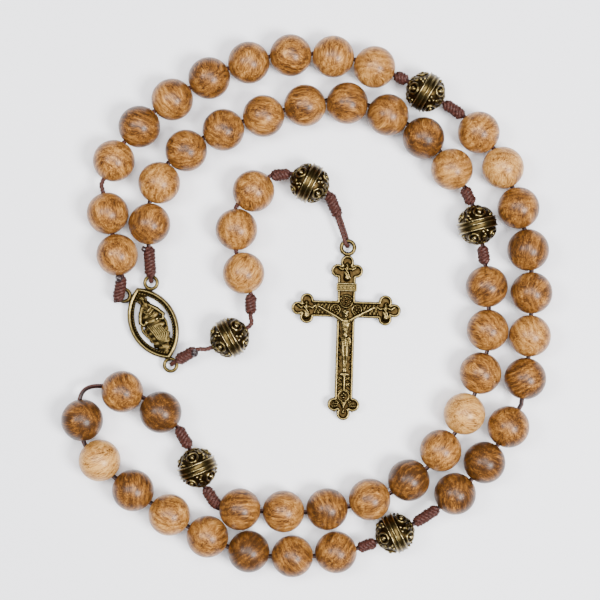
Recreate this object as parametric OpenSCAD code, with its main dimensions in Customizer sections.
// Five-decade cord rosary, lying flat on a table with its loop folded double.
// The row frame has +Z up, the table is z = 0, and the origin is under the middle of the whole rosary.
// Beads are strung on a cord that is tied into wrapped knots. The two ends of the loop are tied to the
// upper rings of an openwork centre medal, and a pendant cord joins its lower ring to the crucifix.

/* [Beads] */
// Diameter of a wooden bead
wood_d = 10; // [8:0.5:12]
// Diameter of a metal bead
metal_d = 9.9; // [7.5:0.5:11.5]
// Smallest space left between neighbours on the cord
bead_gap = 0.1; // [0.1:0.05:0.6]
// Width of the chamfer at each mouth of a wooden bead's bore
mouth_chamfer = 0.35; // [0.1:0.05:0.6]
// Height of the two raised bands round a metal bead
band_height = 0.15; // [0.05:0.05:0.3]
// Width of each raised band
band_width = 0.7; // [0.4:0.1:1.2]

/* [Cord and knots] */
// Diameter of the twisted cord
cord_d = 1.2; // [0.9:0.1:1.4]
// Space between the cord and the wall of a bore, all round
bore_clearance = 0.3; // [0.15:0.05:0.5]
// Diameter of a wrapped knot
knot_d = 2.8; // [2.4:0.1:3.4]
// Space between the cord and the wire of a ring that it is looped through
loop_clearance = 0.15; // [0.1:0.05:0.25]

/* [Centre medal] */
// Length of the almond-shaped frame, tip to tip
medal_length = 19; // [16:0.5:24]
// Width of the almond-shaped frame
medal_width = 11.7; // [9:0.2:13]
// Thickness of the frame
medal_thickness = 2; // [1.4:0.1:2.2]
// Width of the frame's rim, seen from above
medal_rim = 1.3; // [0.9:0.1:1.6]
// Outer diameter of each of the medal's three rings
medal_ring_d = 3.9; // [3.6:0.1:4.6]
// Thickness of the wire of the medal's rings
medal_wire_d = 0.9; // [0.7:0.1:1]

/* [Crucifix] */
// Distance from the middle of the crossing to the top of the upper lobe
cross_above = 13.1; // [11.5:0.1:16]
// Distance from the middle of the crossing to the bottom of the lower lobe
cross_below = 26.9; // [23:0.1:32]
// Distance from the middle of the crossing to the end of an arm
cross_reach = 13.3; // [11.5:0.1:16]
// Width of the upright
shaft_width = 4.4; // [3.8:0.1:5.2]
// Width of the arms
arm_width = 4; // [3.4:0.1:4.8]
// Radius of each rounded lobe at the ends
lobe_r = 1.65; // [1.3:0.05:1.8]
// Thickness of the plate
plate_thickness = 2; // [1.5:0.1:2.4]
// Height of the raised rim on the plate
rim_height = 0.6; // [0.3:0.1:0.9]
// Width of the raised rim
rim_width = 0.5; // [0.3:0.05:0.7]
// Outer diameter of the ring at the top
cross_ring_d = 4.2; // [4:0.1:5]
// Thickness of the wire of the ring at the top
cross_wire_d = 1; // [0.8:0.1:1.1]

/* [Hidden] */
decades = 5;
beads_per_decade = 10;
pendant_beads = 3;
cord_sides = 8;
round_fn = 48;
hull_fn = 24;
spline_steps = 8;

cord_r = cord_d / 2;
wood_r = wood_d / 2;
metal_r = metal_d / 2;
bore_r = cord_r + bore_clearance;

// Every ring is lifted off the table by the cord that passes under its wire.
loop_r = cord_r + loop_clearance;
lift = 0.05;
medal_ring_z = lift + cord_d + loop_clearance + medal_wire_d / 2;
cross_ring_z = lift + cord_d + loop_clearance + cross_wire_d / 2;
medal_z = medal_ring_z - medal_thickness / 2;

// Each thing on the cord is [kind, its stretch of the layout, slack cord beside it].
metal_stretch = 9.9;
wood_stretch = 10;
item_gap = 0.1;
METAL = ["metal", metal_stretch, 0];
function wood(slack) = ["wood", wood_stretch, slack];
function knot(length) = ["knot", length, 0];
function bare(length) = ["bare", length, 0];

// One decade: ten wooden beads, with a bare stretch of cord after the bead numbered in `after`.
function decade(slack, after = 0, length = 0) = [
    for (i = [1:beads_per_decade]) each i == after ? [wood(slack), bare(length)] : [wood(slack)]
];

// What is strung on the loop, from the medal's left ring round to its right ring.
loop_items = concat(
    [knot(6)], decade(0.1, 2, 3), [knot(3.4), METAL, knot(5.8)],
    decade(0.2, 7, 2), [knot(7), METAL, knot(4.6)],
    decade(0.4, 8, 5.6), [knot(5.8), METAL, knot(5.8)],
    decade(0.35), [knot(4.6), METAL, knot(4.6)],
    decade(0.05), [knot(7.2)]
);

// What is strung on the pendant, from the medal's lower ring to the crucifix.
pendant_items = concat(
    [knot(4.8), bare(3.2), METAL, bare(2.8), knot(4.8)],
    [for (i = [1:pendant_beads]) wood(0.1)],
    [knot(4.6), METAL, knot(5.8)]
);

// The loop's route over the table, from the left ring's knot round to the right ring's.
loop_route = [
    [-45.19, 1.4], [-44.5, 8], [-49, 27], [-47, 34], [-38, 46], [-14, 59], [12, 59.3], [38, 45.5], [47, 34],
    [51, 23], [54, 8], [52.2, -20], [46, -33], [36, -45], [21, -54.7], [7, -59.2], [-9, -60],
    [-24, -55.5], [-47, -40.5], [-53.5, -33], [-54.5, -21.5], [-49.5, -19], [-39, -22], [-31, -29],
    [-26, -39], [-22, -48], [-12, -49], [4, -49], [20.5, -44.5], [33, -34], [42, -16], [43.5, 2],
    [39.5, 25], [28, 41], [10, 49.5], [-8, 46.5], [-24, 41], [-35.5, 32], [-38, 22], [-37.66, 7.02]
];

// The pendant's route over the table, from the lower ring's knot to the crucifix's.
pendant_route = [
    [-30.87, -12.96], [-27, -10.5], [-23.5, -10], [-19, -8], [-14.5, -5.5], [-13.5, -1], [-13.5, 3],
    [-14.5, 8],
    [-17, 13], [-18.5, 18], [-17.5, 23], [-14.5, 27.5], [-10, 31], [-4, 32], [1, 30], [5.5, 27], [7.6, 21.5]
];

// Middle of the medal and of the crucifix's ring, before the layout is scaled to the string's length.
medal_layout = [-37.25, -4.05];
medal_tilt = 24.7;
cross_layout = [9.9, 14.3];
cross_tilt = -1.7;

// Smooth curve through the points of a route.
function curve(p, a, b, c, d, t) = (
    2 * p[b] + (p[c] - p[a]) * t + (2 * p[a] - 5 * p[b] + 4 * p[c] - p[d]) * t * t
    + (3 * p[b] - p[a] - 3 * p[c] + p[d]) * t * t * t
) / 2;
function smooth(p) = let (n = len(p) - 1) [
    for (i = [0:n - 1], k = [0:spline_steps - 1])
        curve(p, max(i - 1, 0), i, i + 1, min(i + 2, n), k / spline_steps),
    p[n]
];
function distances(p, i = 1, sum = [0]) =
    i == len(p) ? sum : distances(p, i + 1, concat(sum, sum[i - 1] + norm(p[i] - p[i - 1])));
function last(list) = list[len(list) - 1];

// A track is a smooth route that can be asked for the point at a distance along it.
function track(points) = let (p = smooth(points), s = distances(p)) [
    [for (i = [0:len(p) - 1]) [s[i], p[i][0]]],
    [for (i = [0:len(p) - 1]) [s[i], p[i][1]]],
    last(s)
];
function at(track, s) = [lookup(s, track[0]), lookup(s, track[1])];
function heading(track, s) = let (
    middle = min(max(s, 0.5), track[2] - 0.5),
    ahead = at(track, middle + 0.5) - at(track, middle - 0.5)
) atan2(ahead[1], ahead[0]);
function turn_between(track, a, b) =
    let (turn = heading(track, b) - heading(track, a)) abs(turn - 360 * round(turn / 360));

// Length of the straight stretch that an item needs. Two beads side by side need more where the cord
// turns between them, so that they don't touch on the inside of the bend.
function is_bead(items, i) = i >= 0 && i < len(items) && (items[i][0] == "wood" || items[i][0] == "metal");
function bend(track, items, i, neighbour, s) =
    !is_bead(items, i) || !is_bead(items, neighbour) ? 0
    : let (size = items[i][1], middle = s + size / 2)
        turn_between(track, middle, middle + (neighbour - i) * size);
function reach(track, items, i, s, spare) =
    let (turn = max(bend(track, items, i, i - 1, s), bend(track, items, i, i + 1, s)))
        items[i][1] / cos(turn / 2) + items[i][2] + item_gap + spare;
function walk(track, items, spare = 0, i = 0, s = [0]) =
    i == len(items) ? s : let (
        want = reach(track, items, i, s[i], spare),
        got = norm(at(track, s[i] + want) - at(track, s[i]))
    ) walk(track, items, spare, i + 1, concat(s, s[i] + 2 * want - got));

// The cord's spare length is shared out evenly between the things on it.
function shared_spare(track, items) =
    (track[2] - last(walk(track, items))) / len(items);
function strung(track, items) = [
    for (s = walk(track, items, shared_spare(track, items))) at(track, s)
];

// The length of string that the items need at their real sizes.
function own_length(item) = item[0] == "wood" ? wood_d : item[0] == "metal" ? metal_d : item[1];
function item_sum(items, i = 0) =
    i == len(items) ? 0 : own_length(items[i]) + items[i][2] + bead_gap + item_sum(items, i + 1);

// Where the medal's rings are. Its frame is the space common to two circles.
medal_arc_r = (pow(medal_length / 2, 2) + pow(medal_width / 2, 2)) / medal_width;
medal_arc_x = medal_arc_r - medal_width / 2;
medal_ring_bite = 0.15;
upper_ring_from_arc = medal_arc_r + medal_ring_d / 2 - medal_ring_bite;
upper_ring_y = medal_length / 2 - 0.35;
upper_ring_x = sqrt(pow(upper_ring_from_arc, 2) - pow(upper_ring_y, 2)) - medal_arc_x;
lower_ring_x = -0.4;
lower_ring_y = -medal_length / 2 - medal_ring_d / 2 + 3.5 * medal_ring_bite;

// The layout grows or shrinks with what is strung on the loop, and with the beads that lie side by side.
nominal_length = 622.7;
layout_scale = max(
    item_sum(loop_items) / nominal_length,
    wood_d / wood_stretch,
    (wood_d + metal_d) / (wood_stretch + metal_stretch)
);
medal_at = layout_scale * medal_layout;
function spin(p, angle) = [p[0] * cos(angle) - p[1] * sin(angle), p[0] * sin(angle) + p[1] * cos(angle)];
function on_medal(p) = medal_at + spin(p, medal_tilt);
left_ring = on_medal([-upper_ring_x, upper_ring_y]);
right_ring = on_medal([upper_ring_x, upper_ring_y]);
lower_ring = on_medal([lower_ring_x, lower_ring_y]);
cross_ring = layout_scale * cross_layout;

left_knot_end = left_ring + [-1.3, -1.6];
right_knot_end = right_ring + [0.1, 1.2];
lower_knot_start = lower_ring + [1.5, 1];
cross_knot_end = cross_ring + [-2.3, 7.2];

// The things on the string keep their places in the layout, and only the end knots follow the rings.
function placed(route, items, start, end) = let (points = strung(track(route), items)) [
    start, for (i = [1:len(points) - 2]) layout_scale * points[i], end
];

// Height of the cord at each end of an item: a bead rests on the table, and a knot slopes to its bead.
function axis_z(item) = item[0] == "metal" ? metal_r : wood_r;
function height(items, i, first_z, last_z) =
    i == 0 ? first_z : i == len(items) ? last_z
    : items[i][0] == "metal" || items[i - 1][0] == "metal" ? metal_r
    : items[i][0] == "wood" || items[i - 1][0] == "wood" ? wood_r : (metal_r + wood_r) / 2;
function raised(points, items, first_z, last_z) = [
    for (i = [0:len(points) - 1]) [points[i][0], points[i][1], height(items, i, first_z, last_z)]
];
over_ring_z = medal_ring_z + medal_wire_d / 2 + knot_d / 2 + 0.1;
loop_line = raised(
    placed(loop_route, loop_items, left_knot_end, right_knot_end), loop_items, over_ring_z, over_ring_z
);
pendant_line = raised(
    placed(pendant_route, pendant_items, lower_knot_start, cross_knot_end), pendant_items, over_ring_z, 3.3
);

// Numbers of the items of one kind.
function find(items, kind) = [for (i = [0:len(items) - 1]) if (items[i][0] == kind) i];
loop_wood = find(loop_items, "wood");
loop_metal = find(loop_items, "metal");
pendant_wood = find(pendant_items, "wood");
pendant_metal = find(pendant_items, "metal");
pendant_knots = find(pendant_items, "knot");

// How far the cord turns at the start of an item.
function turn_at(line, i) =
    let (before = line[i] - line[i - 1], after = line[i + 1] - line[i])
        acos(min(1, before * after / (norm(before) * norm(after))));

// The pendant flexes where a bead meets a knot, on each side of its three wooden beads. The cord's
// two parts stand back from there, so that they don't meet on the inside of the bend.
upper_flex = pendant_wood[0];
lower_flex = last(pendant_wood) + 1;
flex_angle = 8;
function flex_gap(i) = cord_r * tan((turn_at(pendant_line, i) + flex_angle) / 2) + 0.05;

module on_line(line, i) {
    run = line[i + 1] - line[i];
    translate((line[i] + line[i + 1]) / 2)
        rotate([0, acos(run[2] / norm(run)), atan2(run[1], run[0])]) children();
}

module wood_bead(line, i) {
    color("burlywood") on_line(line, i) difference() {
        sphere(r = wood_r, $fn = round_fn);
        cylinder(r = bore_r, h = wood_d + 1, center = true, $fn = round_fn);
        for (side = [-1, 1])
            mirror([0, 0, side > 0 ? 0 : 1])
                translate([0, 0, wood_r - mouth_chamfer])
                    cylinder(r1 = bore_r, r2 = bore_r + 2 * mouth_chamfer, h = 2 * mouth_chamfer,
                        $fn = round_fn);
    }
}

module metal_bead(line, i) {
    inner_r = metal_r - band_height;
    color("darkkhaki") on_line(line, i) difference() {
        union() {
            sphere(r = inner_r, $fn = round_fn);
            for (side = [-1, 1])
                translate([0, 0, side * band_width * 0.75])
                    cylinder(r = metal_r - 0.05, h = band_width, center = true, $fn = round_fn);
        }
        cylinder(r = bore_r, h = metal_d + 1, center = true, $fn = round_fn);
    }
}

// A knot's end stands back where the cord turns, and where the bead beside it needs more room.
function overhang(line, items, i) =
    is_bead(items, i) ? own_length(items[i]) / 2 - norm(line[i + 1] - line[i]) / 2 : 0;
function stand_back(line, items, corner, neighbour) =
    corner == 0 || corner == len(items) ? 0
    : max(0.05, knot_d * 0.5 * sin(turn_at(line, corner)) + overhang(line, items, neighbour));

// A wrapped knot: as many turns of cord side by side as fit its stretch, round the strands inside.
module wrapped_knot(line, items, i) {
    wrap_r = cord_d * 0.56;
    half = norm(line[i + 1] - line[i]) / 2;
    low = stand_back(line, items, i, i - 1) - half + wrap_r;
    high = half - stand_back(line, items, i + 1, i + 1) - wrap_r;
    wraps = max(2, round((high - low) / cord_d) + 1);
    pitch = (high - low) / (wraps - 1);
    on_line(line, i) rotate_extrude($fn = round_fn) {
        translate([0, low]) square([knot_d / 2 - wrap_r, high - low]);
        intersection() {
            for (k = [0:wraps - 1])
                translate([knot_d / 2 - wrap_r, low + k * pitch]) circle(r = wrap_r, $fn = hull_fn);
            translate([0, low - cord_d]) square([knot_d, high - low + 2 * cord_d]);
        }
    }
}

// A stretch of cord lying along the table: a round tube swept along a list of points.
module cord_tube(path) {
    n = len(path);
    ahead = [
        for (i = [0:n - 1])
            let (d = path[min(i + 1, n - 1)] - path[max(i - 1, 0)]) d / norm(d)
    ];
    points = [
        for (i = [0:n - 1], k = [0:cord_sides - 1])
            let (
                level = [ahead[i][1], -ahead[i][0], 0],
                across = level / norm(level),
                up = cross(across, ahead[i]),
                a = 360 * (k + 0.5) / cord_sides
            ) path[i] + cord_r * (cos(a) * across + sin(a) * up)
    ];
    walls = [
        for (i = [0:n - 2], k = [0:cord_sides - 1])
            let (a = i * cord_sides, b = (i + 1) * cord_sides, next = (k + 1) % cord_sides)
                [a + k, a + next, b + next, b + k]
    ];
    first_cap = [for (k = [cord_sides - 1:-1:0]) k];
    last_cap = [for (k = [0:cord_sides - 1]) (n - 1) * cord_sides + k];
    polyhedron(points = points, faces = concat([first_cap], walls, [last_cap]));
}

// The cord looped round the wire of a ring, standing on edge and pointing along `angle`.
module ring_loop(ring, ring_z, ring_d, wire_d, angle) {
    translate([ring[0], ring[1], ring_z]) rotate([0, 0, angle])
        translate([(ring_d - wire_d) / 2, 0, 0]) rotate([90, 0, 0])
            rotate_extrude($fn = round_fn)
                translate([wire_d / 2 + loop_r, 0]) circle(r = cord_r, $fn = hull_fn);
}

// A point a little way from one point towards another.
function towards(a, b, distance) = a + (b - a) * distance / norm(b - a);
function angle_to(from, to) = atan2(to[1] - from[1], to[0] - from[0]);

module loop_cord() {
    color("maroon") {
        cord_tube(loop_line);
        for (i = find(loop_items, "knot"))
            wrapped_knot(loop_line, loop_items, i);
        ring_loop(left_ring, medal_ring_z, medal_ring_d, medal_wire_d, medal_tilt + 150);
        ring_loop(
            right_ring, medal_ring_z, medal_ring_d, medal_wire_d,
            angle_to(right_ring, last(loop_line))
        );
    }
}

module pendant_cord_upper() {
    color("maroon") {
        cord_tube(concat(
            [for (i = [0:upper_flex - 1]) pendant_line[i]],
            [towards(pendant_line[upper_flex], pendant_line[upper_flex - 1], flex_gap(upper_flex))]
        ));
        for (i = pendant_knots)
            if (i < upper_flex) wrapped_knot(pendant_line, pendant_items, i);
        ring_loop(
            lower_ring, medal_ring_z, medal_ring_d, medal_wire_d,
            angle_to(lower_ring, pendant_line[0])
        );
    }
}

module pendant_cord_middle() {
    color("maroon") cord_tube(concat(
        [towards(pendant_line[upper_flex], pendant_line[upper_flex + 1], flex_gap(upper_flex))],
        [for (i = [upper_flex + 1:lower_flex - 1]) pendant_line[i]],
        [towards(pendant_line[lower_flex], pendant_line[lower_flex - 1], flex_gap(lower_flex))]
    ));
}

// Below the last knot the cord runs on, doubled, to the loop through the crucifix's ring. The tube
// there stands for both strands.
module pendant_cord_lower() {
    n = len(pendant_line);
    angle = angle_to(cross_ring, pendant_line[n - 1]);
    loop_at = cross_ring_d / 2 + loop_r;
    color("maroon") {
        cord_tube(concat(
            [towards(pendant_line[lower_flex], pendant_line[lower_flex + 1], flex_gap(lower_flex))],
            [for (i = [lower_flex + 1:n - 1]) pendant_line[i]],
            [[cross_ring[0] + loop_at * cos(angle), cross_ring[1] + loop_at * sin(angle), cross_ring_z]]
        ));
        for (i = pendant_knots)
            if (i > lower_flex - 1) wrapped_knot(pendant_line, pendant_items, i);
        ring_loop(cross_ring, cross_ring_z, cross_ring_d, cross_wire_d, angle);
    }
}

// A cast ring with a small flat worn inside it, so that its hole is a true bore.
module cast_ring(outer_d, wire_d) {
    wear = 0.06;
    rotate_extrude($fn = round_fn) intersection() {
        translate([(outer_d - wire_d) / 2, 0]) circle(d = wire_d, $fn = hull_fn);
        translate([outer_d / 2 - wire_d + wear, -wire_d]) square([wire_d, 2 * wire_d]);
    }
}

module almond(inset) {
    intersection_for (side = [-1, 1])
        translate([side * medal_arc_x, 0]) circle(r = medal_arc_r - inset, $fn = 4 * round_fn);
}

// Standing figure in a long robe with both hands held open, as a flat outline.
module robed_outline() {
    head_y = medal_length * 0.26;
    shoulder_y = medal_length * 0.17;
    hem_y = -medal_length / 2 + medal_rim;
    hand_y = -medal_length * 0.02;
    translate([0, head_y]) circle(r = medal_width * 0.13, $fn = round_fn);
    polygon([
        [-medal_width * 0.12, shoulder_y + medal_width * 0.08],
        [medal_width * 0.12, shoulder_y + medal_width * 0.08],
        [medal_width * 0.2, shoulder_y - medal_width * 0.05],
        [medal_width * 0.36, hand_y + medal_width * 0.04],
        [medal_width * 0.33, hand_y - medal_width * 0.12], [medal_width * 0.23, -medal_length * 0.3],
        [medal_width * 0.05, hem_y], [-medal_width * 0.05, hem_y],
        [-medal_width * 0.23, -medal_length * 0.3], [-medal_width * 0.33, hand_y - medal_width * 0.12],
        [-medal_width * 0.36, hand_y + medal_width * 0.04],
        [-medal_width * 0.2, shoulder_y - medal_width * 0.05]
    ]);
}

module medal() {
    floor_thickness = medal_thickness * 0.5;
    relief = medal_thickness * 0.35;
    color("darkkhaki") translate([medal_at[0], medal_at[1], medal_z]) rotate([0, 0, medal_tilt]) {
        linear_extrude(medal_thickness) difference() {
            almond(0);
            almond(medal_rim);
        }
        linear_extrude(floor_thickness + relief) intersection() {
            robed_outline();
            almond(medal_rim / 2);
        }
        linear_extrude(floor_thickness) intersection() {
            translate([-medal_width / 2, medal_length * 0.26]) square([medal_width, medal_length]);
            almond(medal_rim / 2);
        }
        translate([0, 0, medal_ring_z - medal_z]) {
            for (side = [-1, 1])
                translate([side * upper_ring_x, upper_ring_y, 0]) cast_ring(medal_ring_d, medal_wire_d);
            translate([lower_ring_x, lower_ring_y, 0]) cast_ring(medal_ring_d, medal_wire_d);
        }
    }
}

// Three round lobes at the end of an arm that reaches `end` from the crossing.
module trefoil(end, width, inset) {
    spread = width / 2 + 0.05;
    translate([0, end - lobe_r]) circle(r = lobe_r - inset, $fn = round_fn);
    for (side = [-1, 1])
        translate([side * spread, end - 2.3 * lobe_r]) circle(r = lobe_r - inset, $fn = round_fn);
    translate([-spread, end - 2.6 * lobe_r + inset]) square([2 * spread, 1.6 * lobe_r - inset]);
}

module cross_outline(inset) {
    translate([-shaft_width / 2 + inset, -cross_below + 2 * lobe_r])
        square([shaft_width - 2 * inset, cross_above + cross_below - 4 * lobe_r]);
    translate([-cross_reach + 2 * lobe_r, -arm_width / 2 + inset])
        square([2 * cross_reach - 4 * lobe_r, arm_width - 2 * inset]);
    trefoil(cross_above, shaft_width, inset);
    rotate(180) trefoil(cross_below, shaft_width, inset);
    for (angle = [90, -90])
        rotate(angle) trefoil(cross_reach, arm_width, inset);
}

module limb(from, to, from_r, to_r) {
    hull() {
        translate(from) sphere(r = from_r, $fn = hull_fn);
        translate(to) sphere(r = to_r, $fn = hull_fn);
    }
}

// The figure on the cross, plain: head, trunk, arms along the crossbar, and legs.
module corpus() {
    skin_z = plate_thickness + 0.5;
    head_y = -1.2 - arm_width * 0.05;
    hip_y = head_y - 8.6;
    foot_y = head_y - 14;
    hand_x = cross_reach * 0.49;
    shoulder_y = head_y - 2;
    translate([0, head_y, skin_z + 0.3]) sphere(r = 0.95, $fn = hull_fn);
    hull() {
        for (side = [-1, 1])
            translate([side * 0.9, shoulder_y, skin_z]) sphere(r = 0.75, $fn = hull_fn);
        translate([0, hip_y, skin_z]) sphere(r = 1, $fn = hull_fn);
    }
    for (side = [-1, 1]) {
        limb([side * 1.1, shoulder_y, skin_z], [side * hand_x, 0.4, skin_z - 0.1], 0.5, 0.45);
        limb([side * 0.45, hip_y, skin_z], [side * 0.3, foot_y, skin_z - 0.05], 0.75, 0.5);
    }
}

module crucifix() {
    rim_top = plate_thickness + rim_height;
    ring_from_crossing = cross_above + cross_ring_d / 2 - 0.25;
    color("darkkhaki") translate([cross_ring[0], cross_ring[1], 0]) rotate([0, 0, cross_tilt])
        translate([0, -ring_from_crossing, 0]) {
            linear_extrude(plate_thickness) cross_outline(0);
            linear_extrude(rim_top) difference() {
                cross_outline(0);
                cross_outline(rim_width);
            }
            translate([-shaft_width * 0.55, cross_above * 0.34, 0])
                cube([shaft_width * 1.1, arm_width * 0.45, rim_top + 0.2]);
            corpus();
            translate([0, ring_from_crossing, cross_ring_z]) cast_ring(cross_ring_d, cross_wire_d);
        }
}

function bead_index(d, b) = loop_wood[(d - 1) * beads_per_decade + b - 1];
function bead_name(d, b) = str("decade_", d, "_bead_", b);
function end_name(d) = str("decade_", d, "_end_beads");
loose_beads = [2:beads_per_decade - 1];

loop_cord();
medal();
for (d = [1:decades]) {
    union() {
        wood_bead(loop_line, bead_index(d, 1));
        wood_bead(loop_line, bead_index(d, beads_per_decade));
    }
    for (b = loose_beads)
        wood_bead(loop_line, bead_index(d, b));
}
for (i = [1:len(loop_metal)])
    metal_bead(loop_line, loop_metal[i - 1]);
pendant_cord_upper();
pendant_cord_middle();
pendant_cord_lower();
for (i = [1:len(pendant_metal)])
    metal_bead(pendant_line, pendant_metal[i - 1]);
for (i = [1:pendant_beads])
    wood_bead(pendant_line, pendant_wood[i - 1]);
crucifix();
